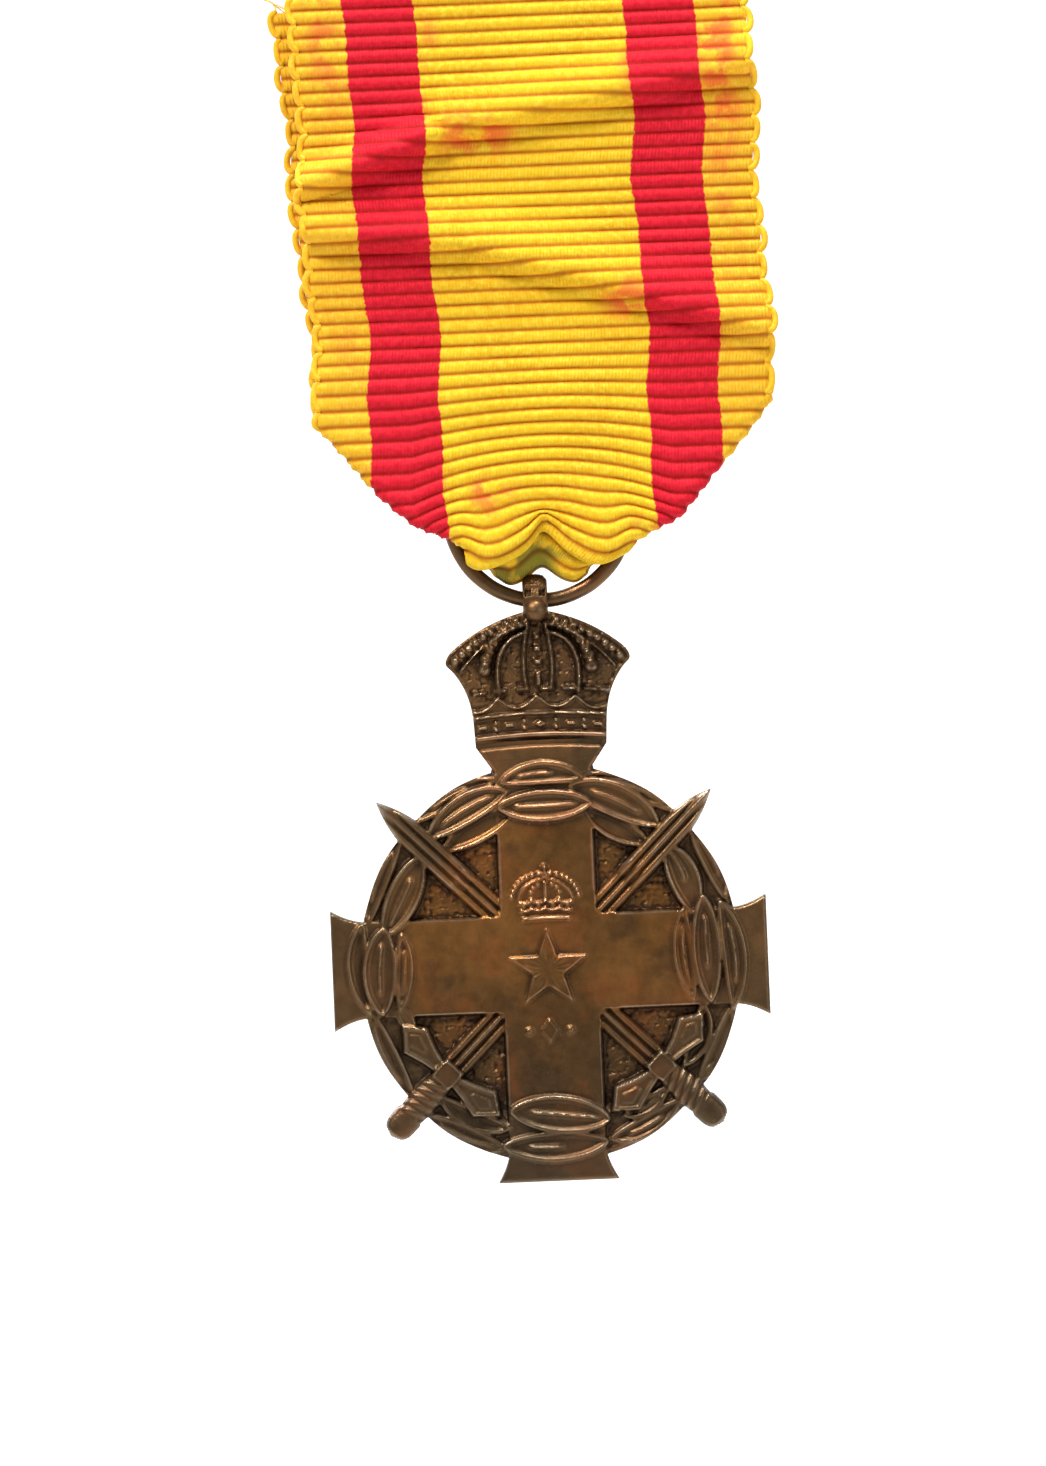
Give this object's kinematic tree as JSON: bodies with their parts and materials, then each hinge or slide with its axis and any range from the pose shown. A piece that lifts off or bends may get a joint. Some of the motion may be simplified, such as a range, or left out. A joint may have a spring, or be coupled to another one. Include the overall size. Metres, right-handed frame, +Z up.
{
  "type": "service medal",
  "caption": "Bronze service cross with laurel wreath, crossed swords and crown on a folded striped ribbon with a pin brooch.",
  "frame": {"origin": "centre of the brooch bar's rear face, where the bar lies against the cloth it is pinned to", "axes": "+Z up along the ribbon, +X to the right when the obverse is seen, obverse faces -Y, brooch pin behind at +Y"},
  "size_m": [0.04, 0.0065, 0.112],
  "materials": {
    "medal_bronze": "brown patina with copper wear",
    "ring_bronze": "dark patina, semi-gloss",
    "ribbon_silk": "ribbed silk, yellow with two red stripes",
    "brooch_brass": "tarnished brass",
    "pin_steel": "nickel-plated steel",
    "sewing_thread": "matte cotton thread"
  },
  "bodies": {
    "brooch": {"brooch_bar": "brooch_brass", "hinge_bracket": "brooch_brass", "catch_hook": "brooch_brass", "ribbon_front_upper": "ribbon_silk", "ribbon_rear_upper": "ribbon_silk", "hem_thread": "sewing_thread", "end_thread": "sewing_thread"},
    "ribbon_point": {"ribbon_front_lower": "ribbon_silk", "ribbon_rear_lower": "ribbon_silk", "ribbon_bight": "ribbon_silk"},
    "ring": {"suspension_ring": "ring_bronze"},
    "medal": {"medal": "medal_bronze"},
    "rivet": {"hinge_rivet": "brooch_brass"},
    "needle": {"brooch_pin": "pin_steel"}
  },
  "joints": [
    {"name": "ribbon_bend", "type": "hinge", "parent": "brooch", "child": "ribbon_point", "pos_m": [0, -0.0002, -0.02], "axis": [1, 0, 0], "range_deg": [-45, 45]},
    {"name": "ring_drop", "type": "slide", "parent": "ribbon_point", "child": "ring", "axis": [0, 0, -1], "range_m": [0, 0.0104]},
    {"name": "medal_swing", "type": "hinge", "parent": "ring", "child": "medal", "pos_m": [0, -0.0002, -0.0571], "axis": [1, 0, 0], "range_deg": [-75, 75]},
    {"name": "pin_swing", "type": "hinge", "parent": "brooch", "child": "rivet", "pos_m": [-0.0155, 0.0024, -0.0012], "axis": [0, 0, 1], "range_deg": [0, 100]},
    {"name": "pin_flex", "type": "hinge", "parent": "rivet", "child": "needle", "pos_m": [-0.0155, 0.0024, -0.0012], "axis": [0, -1, 0], "range_deg": [0, 5], "stiffness_Nm_per_rad": 0.002}
  ]
}
